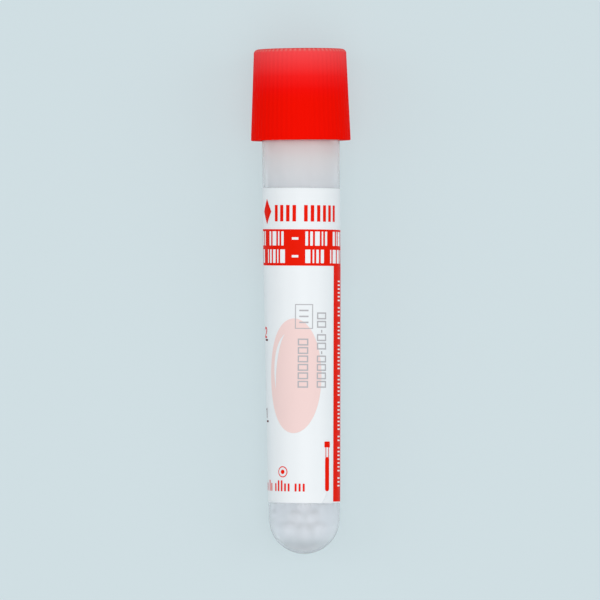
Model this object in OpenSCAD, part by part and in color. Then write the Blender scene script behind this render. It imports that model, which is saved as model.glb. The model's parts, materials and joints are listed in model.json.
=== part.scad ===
// Blood collection tube with a push-on cap, lying on its side as it comes to rest.
//
// Each piece is drawn upright on the tube's own axis: the tip of the round end is at z = 0 and
// the cap is at the top. laid() then turns the whole tube to the way it lies on a flat surface,
// touching it with the round end and with two ribs of the cap's rim.

/* [Tube] */
// Length of the moulded tube, from the tip of the round end to the mouth
tube_l = 75; // [60:0.5:100]
// Outside diameter at the mouth
mouth_d = 12; // [11:0.1:16]
// Thickness of the tube's wall
wall = 0.9; // [0.6:0.05:1.2]
// Length of the upper stretch, from the mouth down to where the wall's draft changes
upper_l = 32; // [26:1:38]
// Draft of the upper stretch, degrees on each side
upper_draft = 0.36; // [0.1:0.01:0.5]
// Draft of the lower stretch, degrees on each side
lower_draft = 0.61; // [0.1:0.01:0.8]
// Bevel inside the mouth that guides the plug in
lip_bevel = 0.25; // [0.1:0.05:0.4]

/* [Cap] */
// Height of the cap, from its rim to its flat top
cap_h = 13.9; // [11:0.1:18]
// Wall of the skirt at the rim, ribs included
skirt_wall = 1.09; // [0.9:0.01:1.5]
// Draft of the ribbed side, degrees
cap_draft = 2.3; // [1:0.05:2.5]
// Thickness of the top above the tube's mouth
cap_top_t = 1.9; // [1.5:0.1:3]
// Thickness of the top over the hollow plug
top_skin = 1.3; // [0.8:0.1:1.4]
// Rounding of the top edge
top_round = 0.55; // [0.3:0.05:0.8]
// Number of ribs round the side
ribs = 60; // [36:2:72]
// Height of a rib above the groove beside it
rib_h = 0.16; // [0.08:0.02:0.24]
// Gap between the skirt and the mouth's outside
skirt_gap = 0.3; // [0.2:0.05:0.5]
// Draft inside the skirt, degrees
skirt_draft = 1; // [0.5:0.1:1.5]

/* [Plug] */
// Length of the plug below the mouth
plug_l = 8; // [5:0.5:10]
// Wall of the hollow plug
plug_wall = 0.9; // [0.6:0.1:1.2]
// Gap between the plug's side and the bore
plug_gap = 0.15; // [0.1:0.05:0.3]
// Running clearance of the sealing ring in the bore
seal_gap = 0.03; // [0.02:0.01:0.08]
// Height of the sealing ring
seal_h = 1.4; // [1:0.2:2]

/* [Label] */
// Height of the label's lower edge above the tip
label_z = 7.9; // [7:0.1:12]
// Bare stretch between the cap's rim and the label
label_gap = 7.3; // [2:0.1:8]
// Thickness of the label film
label_t = 0.05; // [0.04:0.01:0.1]
// Thickness of the glue under it
glue_t = 0.01; // [0.01:0.01:0.03]
// How far the label goes round, degrees
label_wrap = 330; // [240:5:340]

/* [Beads] */
// Diameter of one bead
bead_d = 2.6; // [2:0.1:2.8]
// Clearance that keeps beads apart from each other and from the wall
bead_gap = 0.02; // [0.01:0.01:0.05]

/* [Hidden] */
$fn = 96;
eps = 0.01;

// Points on an arc about [x, y], from angle a0 to a1 in n steps
function arc(x, y, r, a0, a1, n) =
    [for (i = [0:n]) let (a = a0 + (a1 - a0) * i / n) [x + r * cos(a), y + r * sin(a)]];

// Outside radius of the tube at height z, above the round end
draft_z = tube_l - upper_l;
mid_r = mouth_d / 2 - upper_l * tan(upper_draft);
function outer_r(z) = z > draft_z
    ? mid_r + (z - draft_z) * tan(upper_draft)
    : mid_r - (draft_z - z) * tan(lower_draft);

// The round end is half a sphere that takes over where the lower stretch is as wide as it is high
end_r = (mid_r - draft_z * tan(lower_draft)) / (1 - tan(lower_draft));

// Cap levels and radii
top_z = tube_l + cap_top_t;
rim_z = top_z - cap_h;
rib_top_z = top_z - top_round - 0.15;
skirt_r = mouth_d / 2 + skirt_gap;
rim_bore_r = skirt_r + (tube_l - rim_z) * tan(skirt_draft);
rim_r = rim_bore_r + skirt_wall;
function crest_r(z) = rim_r - (z - rim_z) * tan(cap_draft);
top_r = crest_r(rib_top_z) - rib_h - 0.03;
plug_z = tube_l - plug_l;
plug_tip_r = outer_r(plug_z) - wall - plug_gap;

// Two ribs straddle the lowest line, so the rim stands on both
rest_r = rim_r * cos(180 / ribs);
reach = rim_z - end_r;
tilt = acos(end_r / norm([rest_r, reach])) - atan(reach / rest_r);
lift = end_r - end_r * sin(tilt);
x_low = end_r * cos(tilt) - end_r;
x_high = (top_r - top_round) * sin(tilt) + top_z * cos(tilt);

// Turns an upright piece to the way the tube lies, with the cap towards +X
module laid() {
    translate([-(x_low + x_high) / 2, 0, lift]) rotate([0, 90 - tilt, 0]) children();
}

// The tube's outer form up to height top, drawn in by inset on every side
module round_ended(inset, top) {
    translate([0, 0, end_r]) difference() {
        sphere(end_r - inset);
        cylinder(h = 2 * end_r, r = 2 * end_r);
    }
    rotate_extrude() polygon([
        [0, end_r],
        [end_r - inset, end_r],
        [mid_r - inset, draft_z],
        [outer_r(top) - inset, top],
        [0, top]]);
}

module tube() {
    color("gainsboro") laid() difference() {
        round_ended(0, tube_l);
        round_ended(wall, tube_l + eps);
        translate([0, 0, tube_l - lip_bevel])
            cylinder(h = lip_bevel + eps, r1 = outer_r(tube_l) - wall, r2 = outer_r(tube_l) - wall + lip_bevel);
    }
}

// Ribbed outside of the skirt: a star-shaped prism that narrows towards the top
module ribbed_side() {
    crests = [for (i = [1:2 * ribs]) let (
        a = i * 180 / ribs,
        r = rim_r - (i % 2 == 0 ? rib_h : 0)) [r * cos(a), r * sin(a)]];
    translate([0, 0, rim_z])
        linear_extrude(height = rib_top_z - rim_z, scale = crest_r(rib_top_z) / crest_r(rim_z))
            polygon(crests);
}

// Smooth top with its rounded edge, standing a little inside the ribs
module cap_top() {
    rotate_extrude() polygon(concat(
        [[0, tube_l], [top_r, tube_l]],
        arc(top_r - top_round, top_z - top_round, top_round, 0, 90, 6),
        [[0, top_z]]));
}

// Hollow plug with a sealing ring near its tip
module plug() {
    ring_z = plug_z + 1;
    ring_r = outer_r(ring_z) - wall - seal_gap;
    rotate_extrude() polygon([
        [plug_tip_r - plug_wall, plug_z],
        [plug_tip_r - 0.4, plug_z],
        [plug_tip_r, plug_z + 0.6],
        [ring_r, ring_z],
        [ring_r, ring_z + seal_h],
        [plug_tip_r, ring_z + seal_h + 0.4],
        [plug_tip_r, tube_l + 0.5],
        [plug_tip_r - plug_wall, tube_l + 0.5]]);
}

module cap() {
    color("red") laid() {
        difference() {
            union() {
                ribbed_side();
                cap_top();
            }
            translate([0, 0, rim_z])
                cylinder(h = tube_l - rim_z, r1 = rim_bore_r, r2 = skirt_r);
            cylinder(h = top_z - top_skin, r = plug_tip_r - plug_wall);
        }
        plug();
    }
}

// A strip round the tube from height z0 to z1, lying glue_t above its wall
module wrap(z0, z1, angle) {
    levels = [z0, draft_z, z1];
    inner = [for (z = levels) [outer_r(z) + glue_t, z]];
    outer = [for (i = [2:-1:0]) [outer_r(levels[i]) + glue_t + label_t, levels[i]]];
    rotate([0, 0, 180 - angle / 2]) rotate_extrude(angle = angle) polygon(concat(inner, outer));
}

module label() {
    color("white") laid() wrap(label_z, rim_z - label_gap, label_wrap);
}

// Unit directions from the centre of the round end to the beads that touch its wall. Local +X
// points down, so the first pair lies in the trough, the front bead rests on the pair and on
// the end, and the side beads mirror the pair across the plane through a pair bead and the front.
seat_r = end_r - wall - bead_d / 2 - bead_gap;
pitch = bead_d + bead_gap;
half_a = asin(pitch / 2 / seat_r);
front_a = acos((1 - pitch * pitch / (2 * seat_r * seat_r)) / cos(half_a));
front = [cos(front_a), 0, -sin(front_a)];
function pair(s) = [cos(half_a), s * sin(half_a), 0];
function side(s) = let (n = cross(pair(s), front), u = n / norm(n)) pair(-s) - 2 * (pair(-s) * u) * u;

// One bead follows the pair up the trough
next_chord = 2 * seat_r * sin(half_a / 2);
next_z = sqrt(pitch * pitch - next_chord * next_chord);

module beads() {
    seats = [pair(1) * seat_r, pair(-1) * seat_r, front * seat_r,
        side(1) * seat_r, side(-1) * seat_r, [seat_r, 0, next_z]];
    color("whitesmoke") laid() translate([0, 0, end_r])
        for (p = seats) translate(p) sphere(d = bead_d, $fn = 48);
}

tube();
cap();
label();
beads();
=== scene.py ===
# %% [markdown]
# # A blood collection tube, built from lines carried round an axis
#
# The object is a small plastic tube that a laboratory draws blood into. A ribbed cap is pushed
# into its mouth, a printed film is wrapped round its side, and a few loose beads lie in its round
# end. Nearly every piece is round, so the lesson uses one idea again and again: a line is worked
# out as numbers, and carried round the tube's axis.
#
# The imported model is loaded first, and the new surfaces take their places and most of their sizes
# from it. Only a few sizes inside the cap, the label's width and the fine detail are given as
# numbers here.

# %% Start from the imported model
import json
import bmesh
import bpy
import numpy as np
from mathutils import Matrix, Quaternion, Vector


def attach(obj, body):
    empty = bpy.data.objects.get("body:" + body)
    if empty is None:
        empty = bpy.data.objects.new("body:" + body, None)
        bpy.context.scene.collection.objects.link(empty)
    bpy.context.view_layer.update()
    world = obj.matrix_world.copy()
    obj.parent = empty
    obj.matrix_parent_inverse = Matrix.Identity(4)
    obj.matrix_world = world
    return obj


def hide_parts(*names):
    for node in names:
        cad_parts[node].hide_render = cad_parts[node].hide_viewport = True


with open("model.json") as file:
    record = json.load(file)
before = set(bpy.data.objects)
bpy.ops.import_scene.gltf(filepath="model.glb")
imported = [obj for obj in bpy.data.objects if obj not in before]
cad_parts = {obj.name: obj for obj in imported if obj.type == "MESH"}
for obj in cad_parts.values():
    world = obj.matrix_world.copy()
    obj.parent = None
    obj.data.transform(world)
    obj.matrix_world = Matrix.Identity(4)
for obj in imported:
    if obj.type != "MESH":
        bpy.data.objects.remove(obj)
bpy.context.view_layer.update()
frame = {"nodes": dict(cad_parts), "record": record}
mm = 0.001


def in_mm(*lengths):
    """Lengths in metres as rounded millimetres, for printing."""
    return [round(float(length) / mm, 3) for length in lengths]


# %% [markdown]
# ## Where the tube lies
#
# The tube lies on its side with the cap towards +X. The cap is wider than the round end, so the
# axis rises a little towards it. The record says where the cap's flat top is and which way it
# faces, and that gives the axis. Every surface below is drawn about this axis, with heights
# counted from the tip of the round end, as if the tube stood upright.

# %% The tube's own directions
mounts = {m["name"]: m for m in frame["record"]["mounts"]}
top_centre = np.array(mounts["cap_top"]["pos_m"])
along = np.array(mounts["cap_top"]["axis"])
along /= np.linalg.norm(along)
across = np.array([0.0, 1.0, 0.0])
under = np.cross(across, along)


def points_of(mesh):
    """All the points of a mesh, one row each."""
    flat = np.empty(len(mesh.vertices) * 3, np.float32)
    mesh.vertices.foreach_get("co", flat)
    return flat.reshape(-1, 3).astype(float)


def node_points(node):
    """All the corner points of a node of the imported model, one row each."""
    return points_of(frame["nodes"][node].data)


top_z = -((node_points("tube") - top_centre) @ along).min()
tip = top_centre - along * top_z
print("the axis rises", round(float(np.degrees(np.arcsin(along[2]))), 2), "degrees")
print("height of the cap's top above the tip, in mm:", in_mm(top_z))


# %% From upright heights and turns to places in the frame
def around(radius, turn, height):
    """Places at a distance from the axis, a turn away from the line that faces up, and a height
    above the tip: tip + height * along - radius * (cos(turn) * under + sin(turn) * across)."""
    radius, turn, height = np.broadcast_arrays(radius, turn, height)
    flat = np.cos(turn)[..., None] * under + np.sin(turn)[..., None] * across
    return tip + height[..., None] * along - radius[..., None] * flat


def rings(node):
    """Each height at which a node has corner points, with its narrowest and widest radius there."""
    from_tip = node_points(node) - tip
    height = from_tip @ along
    radius = np.linalg.norm(from_tip - height[:, None] * along, axis=1)
    level, group = np.unique(np.round(height / mm, 2), return_inverse=True)
    low, high = np.full(len(level), 1.0), np.zeros(len(level))
    np.minimum.at(low, group, radius)
    np.maximum.at(high, group, radius)
    return level * mm, low, high


# %% [markdown]
# ### Reading the tube
#
# The round end is half a ball. At the level of the ball's middle the tube is as wide, from its
# axis, as that level is high, and this finds the ball's radius. Above it the side widens in
# straight stretches, so its radius can be read between the levels where they meet.

# %% Measure the tube
level, low, high = rings("tube")
mouth_z, mouth_r = level[-1], high[-1]
close = 0.02 * mm
end_r = level[(np.abs(high - level) < close) & (level > mm)][-1]
sides = (level > end_r - close) & (high > end_r - close)
side_z, side_r = level[sides], high[sides]
wall = high[sides][0] - low[sides][0]
print("radius of the mouth and the round end, and the wall, in mm:", in_mm(mouth_r, end_r, wall))


def tube_r(height):
    """Outside radius of the tube above its round end, read between the measured levels."""
    return np.interp(height, side_z, side_r)


# %% [markdown]
# ## Grids into meshes
#
# A surface is a grid of places: one index runs round the axis or across a strip, the other runs
# along the line that is carried. numpy works out the whole grid at once, and the faces are just
# neighbouring grid points, so their numbers can be worked out at once too. A grid may close on
# itself one way or both. Where a line starts on the axis, its whole row falls on one point, and
# merging that point turns the squares there into a neat fan.

# %% Faces of a grid
def grid_faces(rows, columns, close_rows=False, close_columns=False, start=0):
    """Four corners for each face of a grid, numbered from start, so that a surface whose rows run
    to the right and whose columns run up faces the viewer."""
    index = start + np.arange(rows * columns).reshape(rows, columns)
    if close_rows:
        index = np.concatenate([index, index[:1]])
    if close_columns:
        index = np.concatenate([index, index[:, :1]], axis=1)
    corners = index[:-1, :-1], index[1:, :-1], index[1:, 1:], index[:-1, 1:]
    return np.stack(corners, axis=-1).reshape(-1, 4)


# %% Make a mesh object from places and faces
def keep_on_points(mesh, name, values):
    """Keeps one number on each point of a mesh, under a name that a material can read."""
    made = mesh.attributes.new(name, "FLOAT", "POINT")
    made.data.foreach_set("value", values.astype(np.float32))


def piece(name, points, faces, merge=0.0):
    """A smooth-shaded object from places and faces. Points closer than merge become one. The
    height above the tip, in millimetres, is kept on each point, for materials that change along
    the tube."""
    mesh = bpy.data.meshes.new(name)
    mesh.from_pydata(points.reshape(-1, 3).tolist(), [], faces.tolist())
    if merge:
        work = bmesh.new()
        work.from_mesh(mesh)
        bmesh.ops.remove_doubles(work, verts=work.verts, dist=merge)
        work.to_mesh(mesh)
        work.free()
    keep_on_points(mesh, "height", (points_of(mesh) - tip) @ along / mm)
    mesh.polygons.foreach_set("use_smooth", np.ones(len(mesh.polygons), bool))
    made = bpy.data.objects.new(name, mesh)
    bpy.context.scene.collection.objects.link(made)
    print(name, "has", len(mesh.polygons), "faces")
    return made


# %% Lines to carry: straight stretches and rounded corners
same_point = 1e-7


def straight(a, b, steps=1):
    """Points evenly from a up to, but not including, b."""
    share = np.arange(steps)[:, None] / steps
    return np.array(a) * (1 - share) + np.array(b) * share


def corner(centre, radius, start, stop, steps=6):
    """Points on an arc about centre, from angle start to stop in degrees, both ends included."""
    angle = np.radians(np.linspace(start, stop, steps + 1))
    return np.array(centre) + radius * np.stack([np.cos(angle), np.sin(angle)], axis=1)


def turned(name, line, steps, dent=0.0):
    """Carries a closed line of (radius, height) points round the axis. dent is a depth, one for
    all or one for each step and point, that is taken off the radius."""
    turn = np.arange(steps)[:, None] * 2 * np.pi / steps
    points = around(line[:, 0] - dent, turn, line[:, 1])
    return piece(name, points, grid_faces(steps, len(line), close_rows=True), merge=same_point)


# %% [markdown]
# ## Materials as small recipes
#
# Moulded plastic is never one flat colour. Its surface copies the fine grain of the mould, which
# scatters the highlight a little, and the colour is clouded by a per cent or two. One helper makes
# that base for every material: a soft cloud in the colour, a finer one in the roughness, and a
# fine bump. The pattern is read from Object coordinates, so it stays with the piece as it moves.

# %% A helper for moulded plastic
cloud_size = 6 * mm


def moulded(name, colour, roughness, cloud=0.02, grain=0.02, grain_size=0.25 * mm, **sockets):
    """A Principled material. Its colour is clouded by the share cloud, its roughness varies by a
    tenth, and its bump is a noise with grains of one size, as high as the share grain of it."""
    made = bpy.data.materials.new(name)
    made.use_nodes = True
    nodes, links = made.node_tree.nodes, made.node_tree.links
    shader = nodes["Principled BSDF"]
    place = nodes.new("ShaderNodeTexCoord")
    broad = nodes.new("ShaderNodeTexNoise")
    broad.inputs["Scale"].default_value = 1 / cloud_size
    broad.inputs["Detail"].default_value = 3
    links.new(place.outputs["Object"], broad.inputs["Vector"])
    shade = nodes.new("ShaderNodeMix")
    shade.data_type = "RGBA"
    shade.inputs["A"].default_value = [c * (1 - cloud) for c in colour] + [1]
    shade.inputs["B"].default_value = [min(c * (1 + cloud), 1) for c in colour] + [1]
    links.new(broad.outputs["Fac"], shade.inputs["Factor"])
    links.new(shade.outputs["Result"], shader.inputs["Base Color"])
    fine = nodes.new("ShaderNodeTexNoise")
    fine.inputs["Scale"].default_value = 1 / grain_size
    fine.inputs["Detail"].default_value = 2
    links.new(place.outputs["Object"], fine.inputs["Vector"])
    spread = nodes.new("ShaderNodeMapRange")
    spread.inputs["To Min"].default_value = roughness * 0.9
    spread.inputs["To Max"].default_value = roughness * 1.1
    links.new(fine.outputs["Fac"], spread.inputs["Value"])
    links.new(spread.outputs["Result"], shader.inputs["Roughness"])
    bump = nodes.new("ShaderNodeBump")
    bump.inputs["Strength"].default_value = 0.5
    bump.inputs["Distance"].default_value = grain * grain_size
    links.new(fine.outputs["Fac"], bump.inputs["Height"])
    links.new(bump.outputs["Normal"], shader.inputs["Normal"])
    for socket, value in sockets.items():
        shader.inputs[socket.replace("_", " ")].default_value = value
    print("material", name)
    return made


# %% [markdown]
# ### A second colour
#
# Some pieces change colour along the tube or in small places. A Mix node goes in front of the
# shader and lays its second colour over the material's own. How much of it shows comes from a
# number that the mesh keeps on each point, so it's tied to the surface and moves with it.

# %% Helpers for a second colour
def second_colour(material, amount):
    """A Mix node that lays its B colour over a material's own, by the amount a socket gives."""
    nodes, links = material.node_tree.nodes, material.node_tree.links
    base = nodes["Principled BSDF"].inputs["Base Color"]
    over = nodes.new("ShaderNodeMix")
    over.data_type = "RGBA"
    links.new(amount, over.inputs["Factor"])
    links.new(base.links[0].from_socket, over.inputs["A"])
    links.new(over.outputs["Result"], base)
    return over


def kept_value(material, name):
    """The socket that gives the number kept on each point under a name."""
    kept = material.node_tree.nodes.new("ShaderNodeAttribute")
    kept.attribute_name = name
    return kept.outputs["Fac"]


def along_the_tube(material, stops):
    """Lays a second colour over a material's own, by height above the tip. stops is a list of
    (height in mm, how much, colour), and the amount and colour are read between them."""
    nodes, links = material.node_tree.nodes, material.node_tree.links
    first, last = stops[0][0], stops[-1][0]
    share = nodes.new("ShaderNodeMapRange")
    share.inputs["From Min"].default_value = first
    share.inputs["From Max"].default_value = last
    links.new(kept_value(material, "height"), share.inputs["Value"])
    ramp = nodes.new("ShaderNodeValToRGB")
    marks = ramp.color_ramp.elements
    while len(marks) < len(stops):
        marks.new(0.5)
    for mark, (height, amount, colour) in zip(marks, stops):
        mark.position = (height - first) / (last - first)
        mark.color = [*colour, amount]
    links.new(share.outputs["Result"], ramp.inputs["Fac"])
    over = second_colour(material, ramp.outputs["Alpha"])
    links.new(ramp.outputs["Color"], over.inputs["B"])


def tinted(material, name, colour):
    """Lays one colour over a material's own, by the share kept on each point under a name."""
    over = second_colour(material, kept_value(material, name))
    over.inputs["B"].default_value = [*colour, 1]


# %% [markdown]
# ## The tube
#
# The tube is moulded from polypropylene, which is milky rather than clear. Its line runs from the
# tip, round half a ball, up two gently widening stretches, over the rounded lip and back down the
# inside. An outer skin with a modifier that thickens it would also do, but its lip would be
# square. Carrying the whole line makes one closed wall with a rounded lip, so that light is bent
# and scattered by a real thickness of plastic.

# %% The tube's wall
lip = 0.2 * mm
bevel = 0.3 * mm
inside_r = mouth_r - wall - 0.02 * mm


def up_the_side(start, stop, depth, steps=24):
    """Points evenly along the tube's side from one height to another, a depth inside it."""
    line = straight((0, start), (0, stop), steps)
    line[:, 0] = tube_r(line[:, 1]) - depth
    return line


tube_line = np.concatenate([
    corner((0, end_r), end_r, -90, 0, 28),
    up_the_side(end_r + mm, mouth_z - lip, 0),
    corner((mouth_r - lip, mouth_z - lip), lip, 0, 90, 5),
    corner((inside_r + bevel, mouth_z - bevel), bevel, 90, 180, 5),
    up_the_side(mouth_z - mm, end_r + mm, wall),
    corner((0, end_r), end_r - wall, 0, -90, 24),
])
tube = turned("tube_wall", tube_line, 144)

# %% [markdown]
# ### Frosted plastic
#
# Milky plastic lets light through but blurs it. Most of the light goes through a slightly rough
# surface, and the rest is scattered back as if from a pale solid. The index is lower than that of
# clear plastic, because in a milky wall the blur hides most of the bending. The tip is a little
# greyer. Near the cap's rim the wall carries a painted reflection of the cap's red light: the
# colour warms up to the height of the rim and fades again above it, inside the cap.

# %% The tube's finish
frosted = moulded("frosted_tube", (0.965, 0.97, 0.995), 0.11, cloud=0.005,
                  Transmission_Weight=0.72, IOR=1.13, Specular_IOR_Level=0.3)
# From 54 mm up to the cap's rim and on under the cap: a painted reflection of the cap's red light.
along_the_tube(frosted, [
    (0.0, 1.0, (0.85, 0.83, 0.85)),
    (1.7, 1.0, (0.85, 0.86, 0.88)),
    (3.0, 0.0, (0.95, 0.96, 0.97)),
    (54.0, 0.0, (0.99, 0.975, 0.98)),
    (60.0, 1.0, (0.99, 0.95, 0.948)),
    (62.2, 1.0, (1.0, 0.9, 0.895)),
    (63.0, 1.0, (1.0, 0.81, 0.8)),
    (64.5, 1.0, (1.0, 0.92, 0.915)),
    (68.0, 1.0, (0.99, 0.96, 0.962)),
    (75.0, 1.0, (0.985, 0.97, 0.98)),
])
tube.data.materials.append(frosted)
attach(tube, "tube")
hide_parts("tube")

# %% [markdown]
# ## The cap
#
# The cap is one moulding: a flat top, a ribbed skirt for the fingers, and inside it a hollow plug
# with a sealing ring that grips the tube's mouth. It could be put together from a disc, a skirt
# and a plug, but seams would show between them. So all of it is one line again, from the middle
# of the top, over the edge, down the skirt, under the rim, up inside and round the plug. A small
# round dish in the middle of the top is the mark of the gate, where the plastic ran in.
#
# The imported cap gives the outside. Its rim is the lowest level that is wider than the tube's
# mouth, and its ribs end at the last level that is well wider than the flat top.

# %% Measure the cap
level, low, high = rings("cap")
at_rim = np.argmax(high > mouth_r)
rim_z, rim_r, rim_bore = level[at_rim], high[at_rim], low[at_rim]
flat_r = high[-1]
well_wider = 0.6 * mm
rib_top = np.nonzero(high > flat_r + well_wider)[0][-1]
rib_top_z, crest_top = level[rib_top], high[rib_top]
print("radius of the rim, the ribs' upper ends and the flat top, in mm:",
      in_mm(rim_r, crest_top, flat_r))

# %% Sizes for the cap's line
plug_length, plug_wall, plug_gap = 8 * mm, 0.9 * mm, 0.15 * mm
ring_up, ring_gap = 1 * mm, 0.03 * mm
plug_z = mouth_z - plug_length
plug_r = tube_r(plug_z) - wall - plug_gap
ring_r = tube_r(plug_z + ring_up) - wall - ring_gap
hollow_r = plug_r - plug_wall
skirt_r = mouth_r + 0.3 * mm
ceiling_z = top_z - 1.3 * mm
seat_z = mouth_z + 0.01 * mm
top_edge = top_z - rib_top_z
edge_r = crest_top - top_edge
rim_edge = 0.12 * mm
gate_r, gate_depth = 1.1 * mm, 0.08 * mm
print("radius of the plug, its ring and its hollow, in mm:", in_mm(plug_r, ring_r, hollow_r))

# %% The cap's line
outside_line = np.concatenate([
    straight((0, top_z - gate_depth), (gate_r - 0.15 * mm, top_z - gate_depth), 2),
    straight((gate_r - 0.12 * mm, top_z - 0.85 * gate_depth), (gate_r + 0.12 * mm, top_z), 4),
    straight((gate_r + 0.15 * mm, top_z), (edge_r, top_z), 4),
    corner((edge_r, rib_top_z), top_edge, 90, 0, 12),
])
skirt_line = straight((crest_top, rib_top_z - 0.3 * mm), (rim_r, rim_z + 2 * rim_edge), 16)
inner_line = np.concatenate([
    corner((rim_r - rim_edge, rim_z + rim_edge), rim_edge, 0, -90, 4),
    corner((rim_bore + rim_edge, rim_z + rim_edge), rim_edge, -90, -180, 4),
    straight((rim_bore, rim_z + 2 * rim_edge), (skirt_r, seat_z), 4),
    straight((skirt_r, seat_z), (plug_r, seat_z), 2),
    straight((plug_r, seat_z), (plug_r, plug_z + 3 * mm), 3),
    corner((ring_r - 0.3 * mm, plug_z + 2.1 * mm), 0.3 * mm, 60, -60, 6),
    corner((plug_r - 0.4 * mm, plug_z + 0.4 * mm), 0.4 * mm, 0, -90, 5),
    corner((hollow_r + 0.2 * mm, plug_z + 0.2 * mm), 0.2 * mm, -90, -180, 3),
    straight((hollow_r, plug_z + mm), (hollow_r, ceiling_z - 0.3 * mm), 4),
    corner((hollow_r - 0.3 * mm, ceiling_z - 0.3 * mm), 0.3 * mm, 0, 90, 4),
    [[0, ceiling_z]],
])
cap_line = np.concatenate([outside_line, skirt_line, inner_line])
print("the cap's line has", len(cap_line), "points")

# %% [markdown]
# ### Ribs and grooves
#
# The ribs give the fingers a grip. They could be sixty bars set round the skirt, but moulded ribs
# melt into it, so they are a gentle wave that is taken off the radius while the line runs down
# the skirt. On the rounded edge each groove gets deeper for a moment before it ends, as if a small
# spoon had been pressed in. At the lower end it stops on the rim's rounded edge.

# %% The cap with its ribs
ribs = 60
groove_depth = 0.045 * mm
cap_steps = ribs * 10
cap_turn = np.arange(cap_steps)[:, None] * 2 * np.pi / cap_steps
scoop = [0, 0, 0, 0.8, 2, 2.4, 2, 1.5, 1.2, 1, 1, 1, 1]
skirt_start = len(outside_line)
rim_stop = skirt_start + len(skirt_line) + 3
ribbed = np.zeros(len(cap_line))
ribbed[skirt_start - len(scoop):skirt_start] = scoop
ribbed[skirt_start:rim_stop] = 1
grooves = groove_depth * ribbed * (1 + np.cos(ribs * cap_turn)) / 2
cap = turned("cap_shell", cap_line[::-1], cap_steps, dent=grooves[:, ::-1])

# %% [markdown]
# ### The cap's plastic
#
# The cap is a strong, clean red and nearly matt. Over its upper part the colour is painted paler
# and slightly pink towards the rounded edge, a painted sheen of light from above, and the flat top
# is nearly the full red again. The rounded edge gets a painted highlight, strongest where each
# groove ends, which leaves a row of small pale marks round the top. A number kept on each point
# says how strong the painted highlight is, so the marks lie exactly on the ends of the grooves.

# %% How strong the painted highlight on the rounded edge is
highlight_z, highlight_spread = top_z - 0.22 * mm, 0.19 * mm
highlight_between, highlight_at_groove_ends = 0.1, 0.32


def edge_highlight(mesh):
    """How pale each point is: exp(-((height - highlight_z) / highlight_spread)^2) on the rounded edge, times
    highlight_between between the grooves, and highlight_at_groove_ends on top of that where a groove ends."""
    from_tip = points_of(mesh) - tip
    height = from_tip @ along
    out = from_tip - height[:, None] * along
    radius = np.linalg.norm(out, axis=1)
    turn = np.arctan2(-(out @ across), -(out @ under))
    near = np.exp(-((height - highlight_z) / highlight_spread) ** 2) * (radius > edge_r + 0.01 * mm)
    return near * (highlight_between + highlight_at_groove_ends * ((1 + np.cos(ribs * turn)) / 2) ** 1.5)


# The painted highlight on the rounded edge, kept on each point under the name pale.
pale = edge_highlight(cap.data)
keep_on_points(cap.data, "pale", pale)
print("points of the cap that are paler:", int((pale > 0.05).sum()))

# %% The cap's finish
cap_red = moulded("cap_red", (0.86, 0.004, 0.0003), 0.5, grain=0.03, grain_size=0.3 * mm,
                  Specular_IOR_Level=0.008)
# Painted sheen: the side's upper part gets paler and pinker towards the rounded edge, as if lit
# from above.
along_the_tube(cap_red, [
    (rim_z / mm, 0.0, (0.86, 0.004, 0.0005)),
    (68.2, 0.0, (0.86, 0.004, 0.0005)),
    (70.6, 1.0, (0.87, 0.0045, 0.0025)),
    (72.6, 1.0, (0.88, 0.013, 0.012)),
    (76.5, 1.0, (0.88, 0.066, 0.071)),
    (76.88, 1.0, (0.87, 0.02, 0.019)),
])
# Painted highlight: a paler red laid over the rounded edge, strongest at the ends of the grooves.
tinted(cap_red, "pale", (0.9, 0.45, 0.4))
cap.data.materials.append(cap_red)
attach(cap, "cap")
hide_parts("cap")

# %% [markdown]
# ## The label
#
# The label is a rectangle of white film, put on by a machine and very slightly askew: its edges
# drift by less than a degree. It could be a ring turned like the tube, but a turned ring can't be
# askew. A flat sheet can: it is turned in its own plane and then rolled round the tube. So the
# label has coordinates of its own, in millimetres to the right and up, and one function lays any
# point of the sheet on the tube. The print uses the same function, so it can't part from the film.
# The film has one small fold near its lower edge.

# %% Roll a flat sheet round the tube
level, low, high = rings("label")
label_low, label_high = level[0], level[-1]
film_gap = low[0] - tube_r(label_low)
film_t = high[0] - low[0]
half_sheet = 16.2
skew = np.radians(0.87)
sheet_middle = (label_low + label_high) / 2 / mm
fold_right, fold_up, fold_slant = 3.5, 8.6, 0.57
fold_high, fold_wide, fold_long = 0.16, 0.16, 0.9


def fold(right, up):
    """Height of the small fold, in mm: exp(-(over / fold_wide)^2) across a slanting line, times
    exp(-(way / fold_long)^4) along it, so it dies out away from its middle."""
    right, up = right - fold_right, up - fold_up
    over = right * np.cos(fold_slant) - up * np.sin(fold_slant)
    way = right * np.sin(fold_slant) + up * np.cos(fold_slant)
    return fold_high * np.exp(-(over / fold_wide) ** 2) * np.exp(-(way / fold_long) ** 4)


def on_film(right, up, lift=0.0):
    """Places on the label's outside for sheet points in mm. The sheet is turned by the skew about
    its middle, then rolled so that its widths stay true at the radius it meets."""
    right, up = np.broadcast_arrays(right, up)
    rise = up - sheet_middle
    height = (sheet_middle + rise * np.cos(skew) - right * np.sin(skew)) * mm
    arc = (right * np.cos(skew) + rise * np.sin(skew)) * mm
    radius = tube_r(height) + film_gap + film_t
    return around(radius + (fold(right, up) + lift) * mm, arc / radius, height)


print("lower and upper edge of the label, and its thickness, in mm:",
      in_mm(label_low, label_high, film_t))

# %% [markdown]
# ### The film as a closed sheet
#
# The film is two grids, its outside and its inside, joined along the lower and upper edges into a
# loop. The two cut ends are closed by a strip each. Steps are finer across the fold, and one more
# step very close to each edge keeps the shading flat until the edge itself.

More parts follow.
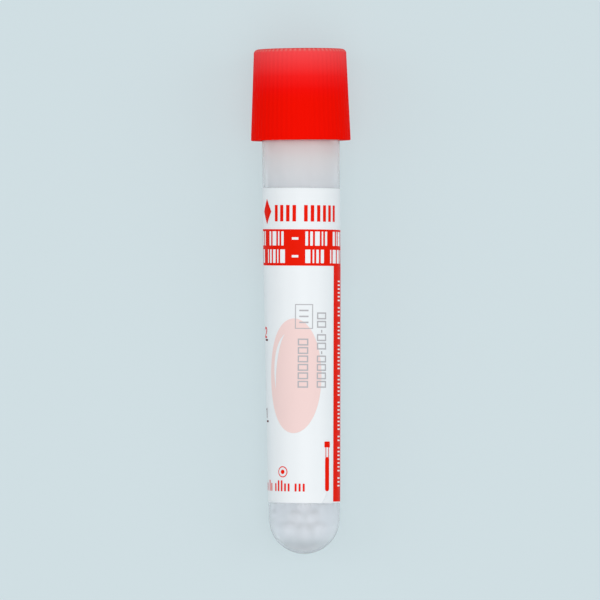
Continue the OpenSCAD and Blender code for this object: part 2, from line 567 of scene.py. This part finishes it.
# %% The film itself
def with_edges(stops, steps, edge=0.015):
    """Even steps between each pair of stops, as many as steps says, and one more very close to
    each end, so that the shading turns only at the edge."""
    marks = [stops[0] + edge, *stops[1:-1], stops[-1] - edge]
    stretches = [np.linspace(a, b, n, endpoint=False)
                 for a, b, n in zip(marks[:-1], marks[1:], steps)]
    return np.concatenate([[stops[0]], *stretches, [marks[-1], stops[-1]]])


right = with_edges([-half_sheet, 2.0, 5.0, half_sheet], [100, 60, 62])[:, None]
up = with_edges([label_low / mm, 10.8, label_high / mm], [58, 64])[None, :]
outer = on_film(right, up)
inner = on_film(right, up, lift=-film_t / mm)
loop = np.concatenate([outer, inner[:, ::-1]], axis=1)
rows, columns = loop.shape[:2]
film_faces = [grid_faces(rows, columns, close_columns=True)]
up_one_side = np.arange(columns // 2 - 1)
for row_number, flip in ((0, False), (rows - 1, True)):
    outside = row_number * columns + up_one_side
    inside = row_number * columns + columns - 1 - up_one_side
    strip = np.stack([outside, outside + 1, inside - 1, inside], axis=1)
    film_faces.append(strip[:, ::-1] if flip else strip)
film = piece("label_film", loop, np.concatenate(film_faces))

# %% The film's finish
film_white = moulded("label_white", (0.812, 0.837, 0.848), 0.4, cloud=0.008, grain=0.01,
                     grain_size=0.2 * mm, Specular_IOR_Level=0.3)
film.data.materials.append(film_white)
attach(film, "tube")
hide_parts("label")

# %% [markdown]
# ## The print
#
# The print is plain fields of ink: a red band right round, a red bar up one side, and small
# shapes between them. It could be a picture wrapped round the film, but a picture blurs when it's
# looked at closely. So each shape is a grid on the sheet that follows the roll of the film a
# hundredth of a millimetre above it, or two hundredths where it lies on other ink, and its edges
# stay sharp at any size.

# %% Shapes on the sheet
on_paper, on_ink = 0.012, 0.024


def bar(left, right_end, low_end, high_end, rounding=0.0):
    """A rectangle with rounded ends: rows run up it, and near an end a row is drawn in by
    rounding - sqrt(rounding^2 - (rounding - distance)^2)."""
    tall = high_end - low_end
    rounding = min(rounding, tall / 2, (right_end - left) / 2)
    bend = rounding * (1 - np.cos(np.linspace(0, np.pi / 2, 9))) if rounding else np.zeros(1)
    middle = np.linspace(bend[-1], tall - bend[-1], max(2, int(tall / 0.8) + 2))[1:-1]
    from_low = np.concatenate([bend, middle, tall - bend[::-1]])
    near = np.minimum(np.minimum(from_low, tall - from_low), rounding)
    inset = rounding - np.sqrt(np.maximum(rounding ** 2 - (rounding - near) ** 2, 0))
    steps = max(2, int((right_end - left) / 0.35) + 2)
    share = np.linspace(0, 1, steps)[:, None]
    across_it = (left + inset) * (1 - share) + (right_end - inset) * share
    return across_it, np.broadcast_to(low_end + from_low, across_it.shape)


def oval(right_c, up_c, half_wide, half_tall, hole=0.0, steps=72):
    """Rings from the hole's edge to the outer edge of an ellipse, hole being its share."""
    share = np.linspace(hole, 1, max(2, int((1 - hole) * half_wide / 0.25) + 2))[:, None]
    angle = np.linspace(0, 2 * np.pi, steps + 1)[None, :]
    return right_c + share * half_wide * np.cos(angle), up_c + share * half_tall * np.sin(angle)


def stroke(path, width):
    """A line of even or changing width along a path of (right, up) points, each moved half the
    width out on both sides, square to the way the path runs."""
    path = np.array(path, float)
    way = np.gradient(path, axis=0)
    way /= np.linalg.norm(way, axis=1)[:, None]
    out = np.stack([-way[:, 1], way[:, 0]], axis=1) * width / 2
    both = np.stack([path - out, path + out], axis=0)
    return both[..., 0].T, both[..., 1].T


def lozenge(right_c, up_c, half_wide, half_tall):
    """A diamond: at height half_tall * t, with t from -1 to 1, it reaches half_wide * (1 - |t|)
    to either side."""
    share = np.linspace(-1, 1, 9)[:, None]
    t = np.linspace(-1, 1, 13)[None, :]
    return right_c + share * half_wide * (1 - abs(t)), up_c + half_tall * t + 0 * share


# %% Shapes into a printed piece
def printed(name, shapes, lift):
    """One object from many sheet shapes, each a pair of arrays (right, up), lift mm above the
    film."""
    points, faces, count = [], [], 0
    for right_of, up_of in shapes:
        right_of, up_of = np.broadcast_arrays(right_of, up_of)
        points.append(on_film(right_of, up_of, lift).reshape(-1, 3))
        faces.append(grid_faces(*right_of.shape, start=count))
        count += right_of.size
    made = piece(name, np.concatenate(points), np.concatenate(faces))
    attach(made, "tube")
    return made


def ink(name, colour):
    """Ink that dries as smooth as the film under it."""
    return moulded(name, colour, 0.4, cloud=0.015, grain=0.01, grain_size=0.2 * mm,
                   Specular_IOR_Level=0.03)


# %% [markdown]
# ### Bars and cells in place of words
#
# The label carries no words. Rows of upright bars stand where lines of words would be, columns of
# short bars run up the side, and outlined cells stand where a number would be written in. Only the
# scale has figures, a plain 2 and a plain 1 beside its marks.

# %% Rows, columns and outlines
def row(start, low_end, high_end, groups, widths=(1.0,), pitch=0.8, ink_share=0.55, gap=0.8,
        tall=(), rise=0.0):
    """Upright bars to the right from start, in groups with a gap between them. Each takes one
    pitch times the next number in widths, and all of it is inked but the last (1 - ink_share)
    of a pitch. The bars whose number is in tall reach higher by rise."""
    shapes, at, number = [], start, 0
    for group in groups:
        for _ in range(group):
            wide = widths[number % len(widths)]
            top = high_end + (rise if number in tall else 0)
            shapes.append(bar(at, at + pitch * (wide - 1 + ink_share), low_end, top, 0.06))
            at, number = at + pitch * wide, number + 1
        at += gap
    return shapes


def column(left, right_end, start, pitch, height, groups, gap):
    """The same running up the sheet: short bars across, from start upwards."""
    shapes, at = [], start
    for group in groups:
        for _ in range(group):
            shapes.append(bar(left, right_end, at, at + height, 0.06))
            at += pitch
        at += gap
    return shapes


def frame_of(left, right_end, low_end, high_end, line):
    """The outline of a box, as four thin bars inside its edges."""
    return [
        bar(left, right_end, low_end, low_end + line),
        bar(left, right_end, high_end - line, high_end),
        bar(left, left + line, low_end + line, high_end - line),
        bar(right_end - line, right_end, low_end + line, high_end - line),
    ]


# %% The scale's numbers
def number_two(right_c, up_c, tall):
    """The figure 2 as a path: more than half a circle, a slanting line and a foot."""
    angle = np.radians(np.linspace(165, -35, 14))
    bow = np.stack([0.27 * np.cos(angle), 0.23 + 0.27 * np.sin(angle)], axis=1)
    foot = [(-0.28, -0.46), (-0.26, -0.47), (0.0, -0.47), (0.3, -0.47)]
    return np.concatenate([bow, foot]) * tall + (right_c, up_c)


def number_one(right_c, up_c, tall):
    """The figure 1 as a path: a short flag and an upright."""
    path = [(-0.2, 0.3), (0.0, 0.48), (0.02, 0.47), (0.02, 0.0), (0.02, -0.5)]
    return np.array(path) * tall + (right_c, up_c)


# %% [markdown]
# ### The inks
#
# A label is printed one ink after another, each a plain colour, and the inks dry in a film much
# thinner than the label. So each ink is one piece with one material. All the shapes of one ink
# could be pieces of their own, but then every one would have to be placed and given its finish.

# %% Red ink: the band, the bar up the side and the small shapes
scale_right, figure_tall, figure_line = -7.55, 1.5, 0.3
band_low, band_high = 43.9, 49.42
the_band = bar(-half_sheet, half_sheet, band_low, band_high)
side_bar = bar(5.45, 9.05, 8.1, band_low)
small_tube = [
    bar(3.57, 4.66, 16.35, 17.25, 0.1),
    bar(3.78, 3.92, 14.7, 16.35),
    bar(4.31, 4.45, 14.7, 16.35),
    bar(3.72, 4.51, 9.7, 14.9, 0.36),
]
ring_and_dot = [oval(-3.15, 12.6, 0.85, 0.85, hole=0.82), oval(-3.15, 12.6, 0.34, 0.34)]
red_shapes = [the_band, side_bar, lozenge(-6.7, 52.1, 1.15, 1.95), *small_tube, *ring_and_dot]
red_shapes += row(-4.75, 50.6, 53.1, (4, 6), pitch=1.02, gap=0.75)
red_shapes += row(-8.2, 9.65, 10.85, (2, 2, 5, 3), pitch=0.62, ink_share=0.5, gap=0.5,
                  tall=(2, 5, 6), rise=0.45)
red_shapes.append(stroke(number_two(scale_right, 33.7, figure_tall), figure_line))
red_print = printed("print_red", red_shapes, on_paper)
red_print.data.materials.append(ink("ink_red", (0.80, 0.0095, 0.0006)))

# %% White ink over the red
widths = (1.0, 1.0, 1.5, 0.8, 1.0, 1.2, 0.8, 1.6)
upper_low, upper_high = 46.95, 49.1
lower_low, lower_high = 44.3, 46.35
white_shapes = row(-15.2, upper_low, upper_high, (4, 5, 4), widths, pitch=0.75, gap=0.9)
white_shapes += row(0.3, upper_low, upper_high, (5, 6, 5), widths, pitch=0.75, gap=0.9)
white_shapes += row(-16.0, lower_low, lower_high, (6, 4, 5), widths[3:], pitch=0.72, gap=0.9)
white_shapes += row(0.3, lower_low, lower_high, (4, 7, 5), widths[2:], pitch=0.75, gap=0.9)
white_shapes += [bar(-1.75, -0.75, dash, dash + 0.36) for dash in (45.15, 47.85)]
white_shapes += column(6.75, 7.85, 10.4, 0.58, 0.22, (3, 7, 2, 8, 6, 7, 5, 3, 6), gap=0.55)
white_print = printed("print_white", white_shapes, on_ink)
white_print.data.materials.append(ink("ink_white", (0.84, 0.86, 0.87)))

# %% A pale oval behind the grey marks
oval_right, oval_up = -1.35, 27.2
pale_print = printed("print_pale", [oval(oval_right, oval_up, 4.35, 8.7)], on_paper)
pale_print.data.materials.append(ink("ink_pale", (0.86, 0.645, 0.615)))

# %% A white stroke on the oval, thick in the middle and thin at its ends
sweep = np.radians(np.linspace(118, 196, 25))
sweep_right = oval_right + 3.3 * np.cos(sweep)
sweep_up = oval_up + 7.1 * np.sin(sweep)
swell = 0.55 * np.sin(np.linspace(0.05, np.pi - 0.05, len(sweep)))[:, None]
sweep_path = np.stack([sweep_right, sweep_up], axis=1)
curved_print = printed("print_swoosh", [stroke(sweep_path, swell)], on_ink)
curved_print.data.materials.append(ink("ink_paper", (0.812, 0.837, 0.848)))

# %% Grey ink: a box and two columns of write-in cells
cell_tall, cell_pitch, cell_line = 1.05, 1.28, 0.2
grey_shapes = frame_of(-1.2, 1.55, 34.33, 38.07, 0.13)
grey_shapes += [bar(-0.55, 0.85, rule, rule + 0.22) for rule in (35.2, 36.1, 37.0)]
for start in 25.4 + cell_pitch * np.arange(6):
    grey_shapes += frame_of(-0.75, 0.85, start, start + cell_tall, cell_line)
for start in (25.4, 26.68, 27.96, 29.24, 31.2, 32.48, 34.5, 35.78):
    grey_shapes += frame_of(2.2, 3.8, start, start + cell_tall, cell_line)
grey_shapes += [bar(2.9, 3.1, 30.5, 30.95), bar(2.9, 3.1, 33.75, 34.2)]
grey_print = printed("print_grey", grey_shapes, on_ink)
grey_print.data.materials.append(ink("ink_grey", (0.46, 0.45, 0.47)))

# %% The scale's marks and its lower number
scale_shapes = [
    stroke(number_one(scale_right, 21.4, figure_tall), figure_line),
    bar(-7.7, -6.7, 32.42, 32.72),
    bar(-7.7, -6.7, 20.05, 20.35),
]
scale_print = printed("print_scale", scale_shapes, on_paper)
scale_print.data.materials.append(ink("ink_dark", (0.12, 0.03, 0.03)))

# %% Plain rules to write on, round the far side
far_shapes = []
for start in (12.0, 17.0, 22.0, 27.0, 32.0, 37.0):
    far_shapes.append(bar(10.2, 15.2, start, start + 0.18))
    far_shapes.append(bar(-15.2, -10.2, start, start + 0.18))
far_print = printed("print_rules", far_shapes, on_paper)
far_print.data.materials.append(ink("ink_rules", (0.40, 0.46, 0.50)))

# %% [markdown]
# ## The beads
#
# A few plastic beads lie loose in the round end, where they help the blood to clot. They are
# moulded, so each is very slightly flat towards its two poles and no two face the same way. A
# bead is half a circle carried round: cos(rise) wide and sin(rise) high. Blender's own sphere
# would do as well, but the grid that has made everything else makes all the beads in one piece.
#
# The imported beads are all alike, and their points follow one another bead by bead. So the list of
# points, cut into six equal parts, gives the place of each.

# %% Find the beads
bead_count = 6
bead_nodes = node_points("beads")
each = len(bead_nodes) // bead_count
by_bead = bead_nodes[:each * bead_count].reshape(bead_count, each, 3)
centres = (by_bead.min(1) + by_bead.max(1)) / 2
bead_r = (by_bead[0].max(0) - by_bead[0].min(0)).max() / 2
print("radius of a bead in mm:", in_mm(bead_r), "centres:", [in_mm(*c) for c in centres])

# %% Lay new ones in their places
bead_turns, bead_rises = 48, 25
flatter, size_share = 0.985, 0.995
rise = np.linspace(-np.pi / 2, np.pi / 2, bead_rises)[None, :]
turn = (np.arange(bead_turns) * 2 * np.pi / bead_turns)[:, None]
ball = np.stack([
    np.cos(rise) * np.cos(turn),
    np.cos(rise) * np.sin(turn),
    flatter * np.sin(rise) + 0 * turn,
], axis=-1)
random_turns = np.random.default_rng(7).normal(size=(bead_count, 4))
bead_points, bead_faces = [], []
for number, (spin, centre) in enumerate(zip(random_turns, centres)):
    spun = ball @ np.array(Quaternion(spin).normalized().to_matrix()).T
    bead_points.append((spun * bead_r * size_share + centre).reshape(-1, 3))
    first = number * bead_turns * bead_rises
    bead_faces.append(grid_faces(bead_turns, bead_rises, close_rows=True, start=first))
beads = piece("beads_loose", np.concatenate(bead_points), np.concatenate(bead_faces),
              merge=same_point)

# %% The beads' finish
bead_white = moulded("bead_white", (0.97, 0.975, 0.98), 0.45, grain=0.05, grain_size=0.3 * mm)
beads.data.materials.append(bead_white)
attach(beads, "tube")
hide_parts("beads")

# %% [markdown]
# ## The studio
#
# The tube lies on a wide, pale sheet of card. A large lamp above the tube, a little towards its
# round end, and a smaller one at each side give soft light with hardly any edge to the shadow.
#
# The card and the distance behind it look paler and more even than they light the object. Light
# Path tells a ray that is seen from one that only carries light. So a seen ray gets a share of
# the card's own plain colour, or the colour of the distance, and the light that falls on the
# object stays at a plain level.

# %% What is seen, and what only lights
def in_view(material):
    """A value that is 1 for a ray that the camera sees, straight or by way of gloss or a clear
    wall, and 0 for a ray that only carries light."""
    nodes, links = material.node_tree.nodes, material.node_tree.links
    ray = nodes.new("ShaderNodeLightPath")
    value = ray.outputs["Is Camera Ray"]
    for way in ("Is Transmission Ray", "Is Glossy Ray"):
        larger = nodes.new("ShaderNodeMath")
        larger.operation = "MAXIMUM"
        links.new(value, larger.inputs[0])
        links.new(ray.outputs[way], larger.inputs[1])
        value = larger.outputs["Value"]
    return value


# %% The card
floor_lines = np.linspace(-8, 8, 5)
floor_right, floor_far = np.meshgrid(floor_lines, floor_lines, indexing="ij")
floor_grid = np.stack([floor_right, floor_far, np.zeros_like(floor_right)], axis=-1)
floor_faces = grid_faces(*floor_right.shape)
floor_mesh = bpy.data.meshes.new("floor")
floor_mesh.from_pydata(floor_grid.reshape(-1, 3).tolist(), [], floor_faces.tolist())
floor = bpy.data.objects.new("floor", floor_mesh)
bpy.context.scene.collection.objects.link(floor)
print("the card is", float(np.ptp(floor_lines)), "m wide")

# %% The card's finish
floor_colour = (0.624, 0.723, 0.753)
own_colour_share = 0.72
floor_card = moulded("floor_card", floor_colour, 0.8, cloud=0.004, grain=0.0,
                     Specular_IOR_Level=0.05)
nodes, links = floor_card.node_tree.nodes, floor_card.node_tree.links
glow = nodes.new("ShaderNodeEmission")
glow.inputs["Color"].default_value = [*floor_colour, 1]
share = nodes.new("ShaderNodeMath")
share.operation = "MULTIPLY"
share.inputs[1].default_value = own_colour_share
links.new(in_view(floor_card), share.inputs[0])
soften = nodes.new("ShaderNodeMixShader")
links.new(share.outputs["Value"], soften.inputs["Fac"])
links.new(nodes["Principled BSDF"].outputs["BSDF"], soften.inputs[1])
links.new(glow.outputs["Emission"], soften.inputs[2])
links.new(soften.outputs["Shader"], nodes["Material Output"].inputs["Surface"])
floor.data.materials.append(floor_card)

# %% The light all round, and the distance behind the card
world = bpy.data.worlds.new("studio")
bpy.context.scene.world = world
world.use_nodes = True
nodes, links = world.node_tree.nodes, world.node_tree.links
sky = nodes["Background"]
sky.inputs["Color"].default_value = (0.94, 0.97, 1.0, 1)
sky.inputs["Strength"].default_value = 0.57
distance = nodes.new("ShaderNodeBackground")
distance.inputs["Color"].default_value = (0.55, 0.64, 0.67, 1)
swap = nodes.new("ShaderNodeMixShader")
links.new(in_view(world), swap.inputs["Fac"])
links.new(sky.outputs["Background"], swap.inputs[1])
links.new(distance.outputs["Background"], swap.inputs[2])
links.new(swap.outputs["Shader"], nodes["World Output"].inputs["Surface"])


# %% Three soft lamps
def lamp(name, size, power, place, aim=(0, 0, 0.006)):
    """A square lamp that faces the tube."""
    data = bpy.data.lights.new(name, "AREA")
    data.shape = "SQUARE"
    data.size = size
    data.energy = power
    made = bpy.data.objects.new(name, data)
    made.location = place
    made.rotation_euler = (Vector(aim) - Vector(place)).to_track_quat("-Z", "Y").to_euler()
    bpy.context.scene.collection.objects.link(made)
    print(name, "is", size, "m wide and gives", power, "W")


lamp("lamp_above", 1.2, 9.7, (-0.35, -0.08, 1.6))
lamp("lamp_left", 0.8, 3.3, (0.1, 1.1, 0.9))
lamp("lamp_right", 0.8, 3.8, (0.1, -1.1, 0.9))

# %% [markdown]
# ### The camera
#
# The camera looks straight down on the tube, square to its axis, with the cap at the top of the
# picture and the tube leaning by half a degree. It's far away behind a long lens, so the tube's
# sides look parallel.

# %% Camera
eye = bpy.data.cameras.new("camera")
eye.sensor_width = 36
eye.lens = 456
eye.clip_start = 0.1
eye.clip_end = 50
camera = bpy.data.objects.new("camera", eye)
lean = np.radians(0.53)
picture_up = along * np.cos(lean) - across * np.sin(lean)
picture_right = -across * np.cos(lean) - along * np.sin(lean)
aim_height, aim_right, away = 38.7 * mm, -0.35 * mm, 1.158
place = tip + along * aim_height + picture_right * aim_right - under * away
turn = Matrix(np.stack([picture_right, picture_up, -under], axis=1).tolist())
camera.matrix_world = Matrix.Translation(place.tolist()) @ turn.to_4x4()
bpy.context.scene.collection.objects.link(camera)
bpy.context.scene.camera = camera
bpy.context.scene.view_settings.view_transform = "Standard"
print("the camera is", away, "m from the tube's axis")
